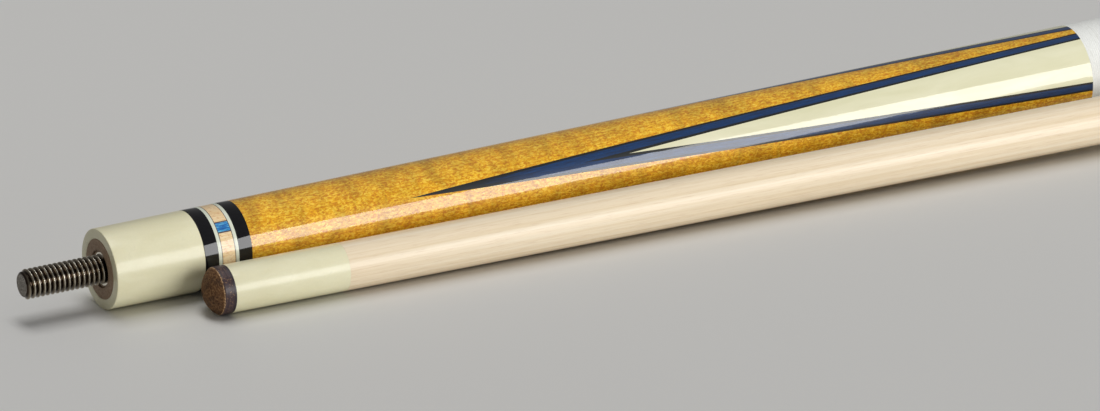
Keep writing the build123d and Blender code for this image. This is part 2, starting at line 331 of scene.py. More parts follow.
class Graph:
    """The shader nodes of one material. Its coordinates are those of the half: X along the cue."""

    def __init__(self, name, **sockets):
        self.material = bpy.data.materials.new(name)
        self.material.use_nodes = True
        tree = self.material.node_tree
        self.nodes, self.links = tree.nodes, tree.links
        self.shader = self.nodes["Principled BSDF"]
        for socket, value in sockets.items():
            self.shader.inputs[socket.replace("_", " ")].default_value = value
        self.place = self.nodes.new("ShaderNodeTexCoord").outputs["Object"]

    def node(self, kind, inputs, **settings):
        made = self.nodes.new("ShaderNode" + kind)
        for key, value in settings.items():
            setattr(made, key, value)
        for key, value in inputs.items():
            if isinstance(value, bpy.types.NodeSocket):
                self.links.new(value, made.inputs[key])
            else:
                made.inputs[key].default_value = value
        return made

    def stretched(self, length, width):
        """Coordinates in which a feature of this length along the cue and width across it is one unit."""
        scale = (1 / (length * MM), 1 / (width * MM), 1 / (width * MM))
        return self.node("Mapping", {"Vector": self.place, "Scale": scale}).outputs[0]

    def noise(self, length, width, detail=3.0, roughness=0.5, twist=0.0):
        """Noise from 0 to 1, its features this long and this wide."""
        inputs = {
            "Vector": self.stretched(length, width),
            "Scale": 1.0,
            "Detail": detail,
            "Roughness": roughness,
            "Distortion": twist,
        }
        return self.node("TexNoise", inputs).outputs["Fac"]

    def maths(self, operation, first, second=0.0):
        return self.node("Math", {0: first, 1: second}, operation=operation).outputs[0]

    def ramp(self, value, *stops):
        """Colours or greys along a value; each stop is (position, colour)."""
        made = self.node("ValToRGB", {"Fac": value})
        elements = made.color_ramp.elements
        while len(elements) < len(stops):
            elements.new(0.5)
        for element, (position, colour) in zip(elements, stops):
            element.position = position
            element.color = colour if isinstance(colour, tuple) else (colour, colour, colour, 1)
        return made.outputs["Color"]

    def mix(self, share, first, second, mode="MIX"):
        inputs = {"Factor": share, MIX_A: first, MIX_B: second}
        return self.node("Mix", inputs, data_type="RGBA", blend_type=mode).outputs[MIX_RESULT]

    def split(self):
        """The coordinate along the cue and the distance from its axis, in metres."""
        parts = self.node("SeparateXYZ", {"Vector": self.place}).outputs
        y_square, z_square = (self.maths("POWER", parts[axis], 2.0) for axis in "YZ")
        return parts["X"], self.maths("SQRT", self.maths("ADD", y_square, z_square))

    def bump(self, height, depth):
        self.set("Normal", self.node("Bump", {"Height": height, "Distance": depth * MM}).outputs[0])

    def set(self, socket, value):
        self.links.new(value, self.shader.inputs[socket])


# ================================================================ materials
def figured_maple(name):
    """Honey-coloured maple with fine flecks and a soft curly figure, under gloss lacquer."""
    g = Graph(name, Coat_Weight=1.0, Coat_Roughness=0.02, Specular_IOR_Level=0.25)
    grain = g.noise(9, 0.55, detail=4, roughness=0.6, twist=0.3)
    fleck = g.noise(0.95, 0.5, detail=2, roughness=0.6, twist=0.8)
    curl = g.noise(5.5, 11, detail=3, roughness=0.55, twist=0.8)
    broad = g.noise(70, 14, detail=2)
    wood = g.ramp(grain, (0.3, tone(212, 146, 4)), (0.5, tone(236, 178, 16)), (0.7, tone(248, 203, 56)))
    flecked = g.mix(g.ramp(fleck, (0.36, 0.85), (0.55, 0.0)), wood, tone(194, 114, 4))
    pale = g.mix(g.ramp(fleck, (0.54, 0.0), (0.66, 0.6)), flecked, tone(252, 216, 88))
    figured = g.mix(1.0, pale, g.ramp(curl, (0.32, 0.74), (0.6, 1.06)), "MULTIPLY")
    g.set("Base Color", g.mix(1.0, figured, g.ramp(broad, (0.3, 0.90), (0.7, 1.03)), "MULTIPLY"))
    g.set("Roughness", g.ramp(fleck, (0.3, 0.5), (0.7, 0.36)))
    g.bump(g.maths("ADD", grain, fleck), 0.012)
    return g.material


def pale_maple():
    """Hard maple shaft: close straight grain, small flecks, a thin satin sealer."""
    g = Graph("shaft_maple", Coat_Weight=0.35, Coat_Roughness=0.22, Specular_IOR_Level=0.4)
    grain = g.noise(120, 0.9, detail=5, roughness=0.6, twist=0.25)
    vessel = g.noise(7, 0.22, detail=2, roughness=0.6)
    ray = g.noise(1.6, 0.3, detail=2)
    broad = g.noise(90, 5, detail=3)
    middle = (0.5, tone(235, 217, 187))
    wood = g.ramp(grain, (0.3, tone(226, 205, 170)), middle, (0.72, tone(241, 227, 201)))
    veined = g.mix(g.ramp(vessel, (0.3, 0.35), (0.44, 0.0)), wood, tone(196, 160, 124))
    rayed = g.mix(g.ramp(ray, (0.64, 0.0), (0.78, 0.35)), veined, tone(228, 190, 158))
    g.set("Base Color", g.mix(1.0, rayed, g.ramp(broad, (0.35, 0.96), (0.65, 1.0)), "MULTIPLY"))
    g.set("Roughness", g.ramp(grain, (0.3, 0.52), (0.7, 0.40)))
    g.bump(vessel, 0.01)
    return g.material


def core_maple():
    """Plain maple of the handle and of the forearm's tenon, whose end shows in the joint face."""
    g = Graph("core_maple", Specular_IOR_Level=0.3)
    rings = g.noise(40, 0.8, detail=4, roughness=0.6, twist=0.6)
    pores = g.noise(8, 0.2, detail=1)
    wood = g.ramp(rings, (0.3, tone(134, 110, 88)), (0.7, tone(170, 144, 118)))
    g.set("Base Color", g.mix(g.ramp(pores, (0.3, 0.6), (0.42, 0.0)), wood, tone(92, 72, 54)))
    g.set("Roughness", g.ramp(rings, (0.3, 0.72), (0.7, 0.55)))
    g.bump(pores, 0.03)
    return g.material


def ring_maple():
    """Pale maple between the blue blocks, with a few darker flecks."""
    g = Graph("ring_maple", Coat_Weight=1.0, Coat_Roughness=0.02, Specular_IOR_Level=0.3)
    grain = g.noise(6, 0.5, detail=4, roughness=0.65, twist=0.5)
    fleck = g.noise(0.9, 0.35, detail=2)
    middle = (0.52, tone(238, 210, 162))
    wood = g.ramp(grain, (0.3, tone(226, 188, 132)), middle, (0.72, tone(246, 226, 188)))
    g.set("Base Color", g.mix(g.ramp(fleck, (0.34, 0.6), (0.48, 0.0)), wood, tone(206, 150, 108)))
    g.set("Roughness", g.ramp(grain, (0.3, 0.5), (0.7, 0.4)))
    g.bump(grain, 0.008)
    return g.material


def ivory_polymer():
    """Ivory-coloured polymer: close to plain, with the faint cloudiness of a cast rod."""
    g = Graph(
        "ivory_polymer",
        Coat_Weight=0.22,
        Coat_Roughness=0.04,
        Specular_IOR_Level=0.3,
        Subsurface_Weight=0.08,
        Subsurface_Radius=(0.9, 0.7, 0.45),
        Subsurface_Scale=0.6 * MM,
    )
    cloud = g.noise(14, 6, detail=4, roughness=0.55, twist=0.4)
    dust = g.noise(0.5, 0.5, detail=2)
    body = g.ramp(cloud, (0.3, tone(220, 214, 178)), (0.7, tone(229, 224, 192)))
    g.set("Base Color", g.mix(1.0, body, g.ramp(dust, (0.3, 0.975), (0.7, 1.0)), "MULTIPLY"))
    g.set("Roughness", g.ramp(cloud, (0.3, 0.34), (0.7, 0.26)))
    g.bump(dust, 0.003)
    return g.material


def ivory_inlay():
    """Ivory-coloured prongs of the points, under the forearm's lacquer."""
    g = Graph("ivory_inlay", Coat_Weight=1.0, Coat_Roughness=0.02, Specular_IOR_Level=0.3)
    cloud = g.noise(26, 5, detail=4, roughness=0.55, twist=0.5)
    g.set("Base Color", g.ramp(cloud, (0.3, tone(217, 214, 178)), (0.7, tone(229, 226, 195))))
    g.set("Roughness", g.ramp(cloud, (0.3, 0.42), (0.7, 0.34)))
    g.bump(g.noise(0.6, 0.6, detail=2), 0.002)
    return g.material


def black_polymer():
    """Polished black ring stock."""
    g = Graph("black_ring", Coat_Weight=0.0, Specular_IOR_Level=0.5)
    fibre = g.noise(1.2, 0.4, detail=3)
    g.set("Base Color", g.ramp(fibre, (0.3, tone(9, 9, 12)), (0.7, tone(17, 16, 20))))
    g.set("Roughness", g.ramp(fibre, (0.3, 0.03), (0.7, 0.06)))
    g.bump(g.noise(3, 1.5, detail=2), 0.001)
    return g.material


def white_polymer():
    """White ring stock, a little greyer than the collar."""
    g = Graph("white_ring", Coat_Weight=0.4, Coat_Roughness=0.02)
    cloud = g.noise(1.5, 2.5, detail=3)
    g.set("Base Color", g.ramp(cloud, (0.3, tone(206, 212, 192)), (0.7, tone(221, 225, 208))))
    g.set("Roughness", g.ramp(cloud, (0.3, 0.4), (0.7, 0.3)))
    g.bump(cloud, 0.002)
    return g.material


def dark_line():
    """Dark fibre of the thin washers and of the liners beside the blue blocks."""
    g = Graph("dark_line", Coat_Weight=1.0, Coat_Roughness=0.03)
    fibre = g.noise(0.6, 0.5, detail=3)
    g.set("Base Color", g.ramp(fibre, (0.3, tone(52, 40, 46)), (0.7, tone(88, 66, 62))))
    g.set("Roughness", g.ramp(fibre, (0.3, 0.5), (0.7, 0.4)))
    g.bump(fibre, 0.004)
    return g.material


def ring_blue():
    """Bright blue inlay with paler streaks along the cue."""
    g = Graph("ring_blue", Coat_Weight=1.0, Coat_Roughness=0.02)
    streak = g.noise(2.6, 0.28, detail=3, roughness=0.6, twist=0.4)
    deep, bright, pale = tone(2, 84, 156), tone(20, 126, 196), tone(110, 192, 216)
    g.set("Base Color", g.ramp(streak, (0.38, deep), (0.5, bright), (0.62, pale)))
    g.set("Roughness", g.ramp(streak, (0.3, 0.4), (0.7, 0.3)))
    g.bump(streak, 0.006)
    return g.material


def dyed_veneer(name, dark, light, tips=None):
    """Dyed wood veneer: close fibres along the cue. Where tips is given, it starts almost black there."""
    g = Graph(name, Coat_Weight=1.0, Coat_Roughness=0.02, Specular_IOR_Level=0.3)
    fibre = g.noise(5, 0.16, detail=4, roughness=0.65, twist=0.3)
    ray = g.noise(0.5, 0.2, detail=2)
    dyed = g.ramp(fibre, (0.32, dark), (0.68, light))
    if tips:
        x, _ = g.split()
        behind = g.maths("DIVIDE", g.maths("SUBTRACT", x, tips * MM), DARK_TIP * MM)
        uneven = g.maths("ADD", behind, g.maths("MULTIPLY", g.maths("SUBTRACT", fibre, 0.5), 0.9))
        dyed = g.mix(g.ramp(uneven, (0.3, 0.95), (1.0, 0.0)), dyed, tone(8, 14, 18))
    g.set("Base Color", g.mix(1.0, dyed, g.ramp(ray, (0.35, 0.75), (0.65, 1.0)), "MULTIPLY"))
    g.set("Roughness", g.ramp(fibre, (0.3, 0.5), (0.7, 0.4)))
    g.bump(fibre, 0.008)
    return g.material


def linen():
    """Pressed white linen cord."""
    g = Graph("wrap_linen", Specular_IOR_Level=0.3, Sheen_Weight=0.25, Sheen_Roughness=0.4)
    fibre = g.noise(0.12, 0.5, detail=4, roughness=0.7, twist=0.4)
    slub = g.noise(0.62, 7, detail=3, roughness=0.6)
    thread = g.ramp(fibre, (0.3, tone(216, 217, 212)), (0.6, tone(236, 237, 233)))
    g.set("Base Color", g.mix(g.ramp(slub, (0.3, 0.35), (0.42, 0.0)), thread, tone(188, 186, 176)))
    g.set("Roughness", g.ramp(fibre, (0.3, 0.85), (0.7, 0.62)))
    g.bump(fibre, 0.03)
    return g.material


def turned_steel():
    """Stainless thread: painted shade darkens the roots and a painted highlight brightens the crests, set
    by distance from the axis; uneven wear patches, a sawn end and fine turning marks.
    """
    g = Graph("pin_steel", Metallic=1.0)
    x, radius = g.split()
    root = SHAFT.solid("shaft_insert").bore * MM
    height = g.maths("DIVIDE", g.maths("SUBTRACT", radius, root), THREAD_DEPTH * MM)
    marks = g.noise(0.05, 3, detail=2)
    patch = g.noise(3, 1.6, detail=4, roughness=0.6)
    # Painted shade and highlight: the colour runs from dark in the thread's roots to bright on its crests.
    root_shade, flank, crest_highlight = tone(60, 50, 42), tone(160, 148, 128), tone(244, 239, 224)
    steel = g.ramp(height, (0.05, root_shade), (0.6, flank), (0.9, crest_highlight))
    # Uneven wear patches laid over the painted shade and highlight.
    worn = g.mix(1.0, steel, g.ramp(patch, (0.3, 0.72), (0.7, 1.0)), "MULTIPLY")
    speckle = g.noise(0.25, 0.3, detail=3, roughness=0.7)
    pit, cut, gleam = tone(62, 58, 54), tone(118, 112, 104), tone(196, 191, 182)
    sawn = g.ramp(speckle, (0.34, pit), (0.5, cut), (0.66, gleam))
    is_end = g.maths("LESS_THAN", radius, root - PIN_SAWN * MM)
    g.set("Base Color", g.mix(is_end, worn, sawn))
    worn_roughness = g.ramp(patch, (0.3, 0.16), (0.7, 0.32))
    sawn_roughness = g.ramp(speckle, (0.4, 0.75), (0.6, 0.4))
    g.set("Roughness", g.mix(is_end, worn_roughness, sawn_roughness))
    g.bump(marks, 0.006)
    return g.material


def plain_steel():
    """Turned steel of the hidden screw and the weight bolt."""
    g = Graph("screw_steel", Metallic=1.0)
    marks = g.noise(0.08, 4, detail=2)
    g.set("Base Color", g.ramp(marks, (0.3, tone(150, 150, 152)), (0.7, tone(182, 182, 184))))
    g.set("Roughness", g.ramp(marks, (0.3, 0.3), (0.7, 0.45)))
    g.bump(marks, 0.006)
    return g.material


def brass():
    """Turned brass with a light tarnish."""
    g = Graph("insert_brass", Metallic=1.0)
    marks = g.noise(0.07, 5, detail=2)
    tarnish = g.noise(2.5, 2.5, detail=4)
    g.set("Base Color", g.ramp(tarnish, (0.3, tone(176, 134, 66)), (0.7, tone(222, 184, 106))))
    g.set("Roughness", g.ramp(tarnish, (0.3, 0.36), (0.7, 0.2)))
    g.bump(marks, 0.006)
    return g.material


def rubber():
    """Black rubber with a dull bloom."""
    g = Graph("bumper_rubber", Specular_IOR_Level=0.35)
    skin = g.noise(0.35, 0.35, detail=3)
    bloom = g.noise(7, 7, detail=4)
    g.set("Base Color", g.ramp(bloom, (0.3, tone(26, 26, 27)), (0.7, tone(44, 43, 43))))
    g.set("Roughness", g.ramp(bloom, (0.3, 0.7), (0.7, 0.85)))
    g.bump(skin, 0.03)
    return g.material


def tip_leather():
    """Pressed leather: napped brown crown, a tan line at its edge, and a burnished dark side."""
    g = Graph("tip_leather", Specular_IOR_Level=0.3)
    x, _ = g.split()
    nap = g.noise(0.35, 0.5, detail=4, roughness=0.7)
    blotch = g.noise(3, 2.4, detail=3, roughness=0.6)
    layers = g.noise(0.35, 9, detail=3, roughness=0.6)
    specks = g.noise(0.4, 0.4, detail=2, roughness=0.6)
    top = g.ramp(nap, (0.34, tone(66, 42, 24)), (0.5, tone(102, 70, 42)), (0.66, tone(142, 106, 70)))
    worn = g.mix(g.ramp(blotch, (0.34, 0.7), (0.52, 0.0)), top, tone(46, 32, 26))
    band = g.ramp(layers, (0.3, tone(42, 32, 34)), (0.6, tone(68, 52, 54)), (0.75, tone(92, 70, 64)))
    side = g.mix(g.ramp(specks, (0.6, 0.0), (0.68, 0.8)), band, tone(150, 116, 84))
    edge = g.maths("ADD", g.maths("DIVIDE", g.maths("SUBTRACT", x, crown * MM), MM), 0.5)
    is_side = g.ramp(edge, (0.45, 0.0), (0.55, 1.0))
    is_rim = g.ramp(edge, (0.26, 0.0), (0.36, 1.0), (0.44, 1.0), (0.6, 0.0))
    is_line = g.maths("MULTIPLY", is_rim, g.ramp(specks, (0.42, 0.1), (0.56, 1.0)))
    g.set("Base Color", g.mix(is_line, g.mix(is_side, worn, side), tone(196, 160, 118)))
    nap_roughness = g.ramp(nap, (0.3, 0.9), (0.7, 0.75))
    side_roughness = g.ramp(layers, (0.3, 0.4), (0.7, 0.3))
    g.set("Roughness", g.mix(is_side, nap_roughness, side_roughness))
    g.bump(g.maths("ADD", nap, layers), 0.03)
    return g.material


def pad_fibre():
    """Dark fibre pad under the leather."""
    g = Graph("pad_fibre", Specular_IOR_Level=0.4)
    fibre = g.noise(0.2, 1.5, detail=3)
    g.set("Base Color", g.ramp(fibre, (0.3, tone(30, 22, 28)), (0.7, tone(54, 42, 48))))
    g.set("Roughness", g.ramp(fibre, (0.3, 0.5), (0.7, 0.35)))
    g.bump(fibre, 0.01)
    return g.material


MATERIALS = {
    "pin_steel": turned_steel(),
    "ivory_polymer": ivory_polymer(),
    "black_ring": black_polymer(),
    "white_ring": white_polymer(),
    "dark_line": dark_line(),
    "ring_maple": ring_maple(),
    "ring_blue": ring_blue(),
    "forearm_maple": figured_maple("forearm_maple"),
    "ivory_inlay": ivory_inlay(),
    "blue_veneer": dyed_veneer("blue_veneer", tone(0, 28, 64), tone(0, 62, 118), blue_tips),
    "black_veneer": dyed_veneer("black_veneer", tone(4, 8, 8), tone(18, 22, 20)),
    "wrap_linen": linen(),
    "handle_wood": core_maple(),
    "screw_steel": plain_steel(),
    "sleeve_maple": figured_maple("sleeve_maple"),
    "bumper_rubber": rubber(),
    "tip_leather": tip_leather(),
    "pad_fibre": pad_fibre(),
    "shaft_maple": pale_maple(),
    "insert_brass": brass(),
}


# ================================================================ rings, sleeves and inlays
def rings(half, node, radius_at, corner=RING_CORNER):
    """Every ring or sleeve of a CAD node, as one piece."""
    mesh = bmesh.new()
    for solid in half.solids(node):
        add_turned(mesh, soften(tube_outline(solid, radius_at), corner, closed=True))
    finish_piece(node + "_turned", half, mesh, SLOTS[node], [node])


def add_sector(mesh, solid, radius_at, left, right):
    """Part of a ring between two flat sides, each given as (angle of a block, offset from that angle)."""
    def side(edge, radius):
        return edge[0] + math.asin(edge[1] / radius)

    corners = tube_outline(solid, radius_at)
    steps = round((right[0] - left[0]) / TURN * STEPS) + SECTOR_STEPS
    sections = []
    for k in range(steps + 1):
        share = k / steps
        sections.append([
            spot(x, r, side(left, r) * (1 - share) + side(right, r) * share) for x, r in corners
        ])
    add_loft(mesh, sections)


def inlaid_ring(half, blue_nodes, maple_nodes, dark_node, radius_at):
    """Blue blocks, the dark liners beside them and the maple between them."""
    blocks = [solid for node in blue_nodes for solid in half.solids(node)]
    dark_solids = half.solids(dark_node)
    liners = [solid for solid in dark_solids if solid.x1 - solid.x0 > WASHER]
    centres = sorted(middle_angle(solid) for solid in blocks)
    block = blocks[0]
    inner = across(block, centres)
    outer = max(across(liner, centres) for liner in liners)
    inlays = {node: bmesh.new() for node in blue_nodes + maple_nodes + [dark_node]}
    for k, centre in enumerate(centres):
        following = centres[(k + 1) % len(centres)] + (TURN if k + 1 == len(centres) else 0)
        blue, maple = (inlays[nodes[k % len(nodes)]] for nodes in (blue_nodes, maple_nodes))
        add_sector(blue, block, radius_at, (centre, -inner), (centre, inner))
        add_sector(inlays[dark_node], block, radius_at, (centre, -outer), (centre, -inner))
        add_sector(inlays[dark_node], block, radius_at, (centre, inner), (centre, outer))
        add_sector(maple, block, radius_at, (centre, outer), (following, -outer))
    for solid in dark_solids:
        if solid not in liners:
            add_turned(inlays[dark_node], tube_outline(solid, radius_at))
    for node, mesh in inlays.items():
        finish_piece(node + "_inlay", half, mesh, SLOTS[node], [node])


def across(solid, centres):
    """The furthest that a solid reaches sideways from the nearest of these directions."""
    def reach(radius, angle):
        return radius * math.sin(min(abs(math.remainder(angle - centre, TURN)) for centre in centres))

    return max(reach(r, angle) for _, r, angle in solid.points)


# ================================================================ threads and windings
def profile(*stops):
    """Depth across one pitch, as a share of the full depth, through (phase, depth) stops from phase 0."""
    closed = list(stops) + [(1.0, stops[0][1])]

    def depth(phase):
        for (p0, d0), (p1, d1) in zip(closed, closed[1:]):
            if phase <= p1:
                return d0 + (d1 - d0) * (phase - p0) / (p1 - p0)
        return closed[-1][1]

    return depth, [phase for phase, _ in stops]


THREAD = profile(
    (0.0, 1.0), (0.07, 1.0), (0.12, 0.9), (0.42, 0.06), (0.46, 0.0),
    (0.54, 0.0), (0.58, 0.06), (0.88, 0.9), (0.93, 1.0),
)
CORD = profile((0.0, 1.0), (0.14, 0.42), (0.32, 0.08), (0.5, 0.0), (0.68, 0.08), (0.86, 0.42))


class Helix:
    """A right-hand helical surface between two planes across the axis."""

    def __init__(self, x0, x1, pitch, shape, radius_at, steps):
        self.x0, self.x1, self.pitch, self.steps = x0, x1, pitch, steps
        self.depth, self.phases = shape
        self.radius_at = radius_at

    def point(self, x, step):
        """The point of the surface at this place along the axis and this step around it."""
        phase = ((x - self.x0) / self.pitch + step / self.steps) % 1.0
        return spot(x, self.radius_at(x, self.depth(phase)), TURN * step / self.steps)

    def rim(self, x):
        """The edge of the surface in the plane across the axis at x."""
        return [self.point(x, step) for step in range(self.steps)]

    def add_to(self, mesh):
        """Rows follow the helix, and stop at the end planes."""
        turns = math.ceil((self.x1 - self.x0) / self.pitch) + 1
        places = [turn + phase for turn in range(turns) for phase in self.phases] + [turns]
        rows = []
        for place in places:
            row = []
            for step in range(self.steps + 1):
                x = self.x0 + (place - step / self.steps) * self.pitch
                row.append(mesh.verts.new(self.point(min(max(x, self.x0), self.x1), step)))
            rows.append(row)
        for near, far in zip(rows, rows[1:]):
            for step in range(self.steps):
                mesh.faces.new((near[step], near[step + 1], far[step + 1], far[step]))


def threaded_pin():
    """The joint pin: a real 5/16-18 thread with a chamfered end, on the plain shank in the forearm."""
    pin = BUTT.solid("joint_pin")
    major = MOUNTS["joint_pin"]["dims"]["r_mm"]
    thread_end = max(x for x, r, _ in pin.points if abs(r - major) < NEAR)

    def radius_at(x, depth):
        return min(major - depth * THREAD_DEPTH, pin.r0 + (x - pin.x0))

    mesh = bmesh.new()
    helix = Helix(pin.x0, thread_end, PIN_PITCH, THREAD, radius_at, THREAD_STEPS)
    helix.add_to(mesh)
    face = [circle(pin.x0 + dip, radius, THREAD_STEPS) for dip, radius in PIN_END]
    add_loft(mesh, face + [helix.rim(pin.x0)], caps=False)
    shank = [circle(x, r, THREAD_STEPS) for x, r in ((thread_end, pin.r1), (pin.x1, pin.r1), (pin.x1, 0))]
    add_loft(mesh, [helix.rim(thread_end)] + shank, caps=False)
    finish_piece("joint_pin_thread", BUTT, mesh, "pin_steel", ["joint_pin"], RIDGE_SHARP)


def threaded_insert():
    """The shaft's brass insert, with the matching thread inside."""
    insert = SHAFT.solid("shaft_insert")
    minor = MOUNTS["shaft_insert"]["dims"]["r_mm"]
    mouth = min(r for x, r, _ in insert.points if x > insert.x1 - NEAR)

    def radius_at(x, depth):
        return max(minor + (1 - depth) * THREAD_DEPTH, mouth - (insert.x1 - x))

    mesh = bmesh.new()
    helix = Helix(insert.x0, insert.x1, PIN_PITCH, THREAD, radius_at, THREAD_STEPS)
    helix.add_to(mesh)
    outside = [circle(x, insert.r0, THREAD_STEPS) for x in (insert.x0, insert.x1)]
    add_loft(mesh, [helix.rim(insert.x0)] + outside + [helix.rim(insert.x1)], caps=False)
    finish_piece("shaft_insert_thread", SHAFT, mesh, "insert_brass", ["shaft_insert"], RIDGE_SHARP)


def wound_wrap():
    """Linen cord wound on the handle in one close spiral, and pressed."""
    def radius_at(x, depth):
        return butt_radius(x) - depth * CORD_DEPTH

    mesh = bmesh.new()
    helix = Helix(wrap.x0, wrap.x1, CORD_PITCH, CORD, radius_at, CORD_STEPS)
    helix.add_to(mesh)
    inside = [circle(x, wrap.bore, CORD_STEPS) for x in (wrap.x0, wrap.x1)]
    add_loft(mesh, [helix.rim(wrap.x0)] + inside + [helix.rim(wrap.x1)], caps=False)
    finish_piece("wrap_cord", BUTT, mesh, "wrap_linen", ["wrap"], CORD_SHARP)


# ================================================================ forearm and points
class Groove:
    """The 90 degree V that bounds one layer of a point: its half-angle and its root along the forearm."""

    def __init__(self, node):
        solid = BUTT.solid(node)
        self.tip, end = solid.x0, solid.x1
        tip_points = [(r, angle) for x, r, angle in solid.points if x < self.tip + NEAR]
        self.angle = max(tip_points)[1] % TURN
        rim = [angle for x, r, angle in solid.points if x > end - NEAR and r > butt_radius(end) - NEAR]
        half_angle = max(abs(math.remainder(angle - self.angle, TURN)) for angle in rim)
        end_root = math.sqrt(2) * butt_radius(end) * math.cos(half_angle + TURN / 8)
        self.root_line = line(self.tip, butt_radius(self.tip), end, end_root)

    def root(self, x):
        """How far the V's root is from the axis."""
        return min(self.root_line(x), butt_radius(x))

    def half_angle(self, x):
        """Half of the angle around the axis that the V takes at the surface."""
        return max(0.0, math.acos(self.root(x) / (math.sqrt(2) * butt_radius(x))) - TURN / 8)


def point_layers(grooves):
    """The four layers of each point: black, blue and black veneer, then the ivory-coloured prong."""
    for layer, name in enumerate(LAYERS):
        groove = grooves[layer]
        inner = grooves[layer + 1] if layer + 1 < len(LAYERS) else None
        places = along(groove.tip, wrap.x0, LENGTH_STEP)
        if inner:
            places = sorted(places + [inner.tip])
        for point in POINTS:
            node = f"{name}_{point}"
            angle = Groove(f"{LAYERS[0]}_{point}").angle
            mesh = bmesh.new()
            add_loft(mesh, [layer_section(x, angle, groove, inner) for x in places])
            finish_piece(node + "_splice", BUTT, mesh, SLOTS[node], [node])


def layer_section(x, angle, groove, inner):
    """A layer's section: a solid wedge, or a V-shaped band around the next layer in."""
    radius = butt_radius(x)
    wide = groove.half_angle(x)
    narrow = inner.half_angle(x) if inner else 0.0
    shares = [k / LAYER_STEPS for k in range(LAYER_STEPS + 1)]
    left = [spot(x, radius, angle - wide + (wide - narrow) * share) for share in shares]
    right = [spot(x, radius, angle + narrow + (wide - narrow) * share) for share in shares]
    middle = spot(x, inner.root(x) if inner else radius, angle)
    return left + [middle] + right + [spot(x, groove.root(x), angle)]


def forearm(groove):
    """Figured maple from the rings to the wrap, grooved for its four points, and the tenon in front."""
    solid = BUTT.solid("forearm")
    angles = sorted(Groove(f"{LAYERS[0]}_{point}").angle for point in POINTS)
    front = BUTT.solid("ring_black_rear").x1
    places = sorted(along(front, wrap.x0, LENGTH_STEP) + [groove.tip])

    def section(x, radius):
        ring = []
        for k, angle in enumerate(angles):
            following = angles[(k + 1) % len(angles)] + (TURN if k + 1 == len(angles) else 0)
            start, end = angle + groove.half_angle(x), following - groove.half_angle(x)
            for step in range(PANEL_STEPS + 1):
                ring.append(spot(x, radius, start + (end - start) * step / PANEL_STEPS))
            ring.append(spot(x, min(groove.root(x), radius), following))
        return ring

    mesh = bmesh.new()
    add_loft(mesh, [section(front, 0)] + [section(x, butt_radius(x)) for x in places])
    finish_piece("forearm_maple", BUTT, mesh, "forearm_maple", ["forearm"])

    pin = BUTT.solid("joint_pin")
    recess_radius = min(r for x, r, _ in solid.points if x < solid.x0 + NEAR)
    recess = min(x for x, r, _ in solid.points if abs(r - pin.r1) < NEAR)
    outline = [
        (pin.x1, 0),
        (pin.x1, pin.r1),
        (recess, pin.r1),
        (recess, recess_radius),
        (solid.x0, recess_radius),
        (solid.x0, solid.r0),
        (front, solid.r0),
        (front, 0),
    ]
    turned("forearm_tenon", BUTT, outline, "handle_wood", ["forearm"])


# ================================================================ tip, ferrule and shaft
def tip():
    """Leather tip: a napped dome, a crisp edge and a slightly uneven burnished side."""
    dome = (tip_radius ** 2 + crown ** 2) / (2 * crown)
    outline = []
    for k in range(TIP_STEPS + 1):
        radius = (tip_radius - TIP_EDGE) * k / TIP_STEPS
        outline.append((dome - math.sqrt(dome ** 2 - radius ** 2), radius))
    outline.append((crown + TIP_EDGE, tip_radius - TIP_EDGE * 0.2))
    outline += [(x, tip_radius) for x in along(crown + 3 * TIP_EDGE, leather.x1, TIP_ROW)]
    outline.append((leather.x1, 0))
    mesh = bmesh.new()
    add_turned(mesh, outline, closed=False)
    for vert in mesh.verts:
        roughen(vert)
    finish_piece("tip_leather", SHAFT, mesh, "tip_leather", ["tip"], RIDGE_SHARP)


def roughen(vert):
    """Sink one point of the leather, deeper on the dome than on the side."""
    x, radius = vert.co.x / MM, vert.co.yz.length / MM
    if x < leather.x1 - TIP_PLAIN and radius > TIP_CENTRE:
        rough = noise.noise(vert.co / (TIP_COARSE * MM)) + 0.5 * noise.noise(vert.co / (TIP_FINE * MM))
        sink = TIP_ROUGH * (rough - TIP_INSET) * (1.0 if x < crown else TIP_SIDE)
        vert.co.yz = vert.co.yz * (1 + sink / tip_radius)
        vert.co.x -= min(0.0, sink) * MM * (1 - radius / tip_radius)


def shaft_front():
    """Fibre pad and ferrule."""
    pad = SHAFT.solid("tip_pad")
    outline = [(pad.x0, 0), (pad.x0, tip_radius), (pad.x1, tip_radius), (pad.x1, 0)]
    turned("tip_pad_disc", SHAFT, outline, "pad_fibre", ["tip_pad"], PAD_CORNER)
    ferrule, wood = SHAFT.solid("ferrule"), SHAFT.solid("shaft")
    outline = [
        (ferrule.x0, 0),
        (ferrule.x0, tip_radius),
        (ferrule.x1, tip_radius),
        (ferrule.x1, wood.r0),
        (wood.x0, wood.r0),
        (wood.x0, 0),
    ]
    turned("ferrule_turned", SHAFT, outline, "ivory_polymer", ["ferrule"], FERRULE_CORNER)


def shaft_wood():
    """Maple shaft, with its tenons and the socket for the insert."""
    wood, ferrule, insert = SHAFT.solid("shaft"), SHAFT.solid("ferrule"), SHAFT.solid("shaft_insert")
    end = shaft_rings[0].x0
    outline = [(wood.x0, 0), (wood.x0, wood.r0), (ferrule.x1, wood.r0)]
    outline += [(x, shaft_radius(x)) for x in along(ferrule.x1, end, LENGTH_STEP)]
    outline += [(end, wood.r1), (wood.x1, wood.r1)]
    outline += [(wood.x1, insert.r0), (insert.x0, insert.r0), (insert.x0, 0)]
    mesh = bmesh.new()
    add_turned(mesh, outline, closed=False)
    finish_piece("shaft_maple", SHAFT, mesh, "shaft_maple", ["shaft"])


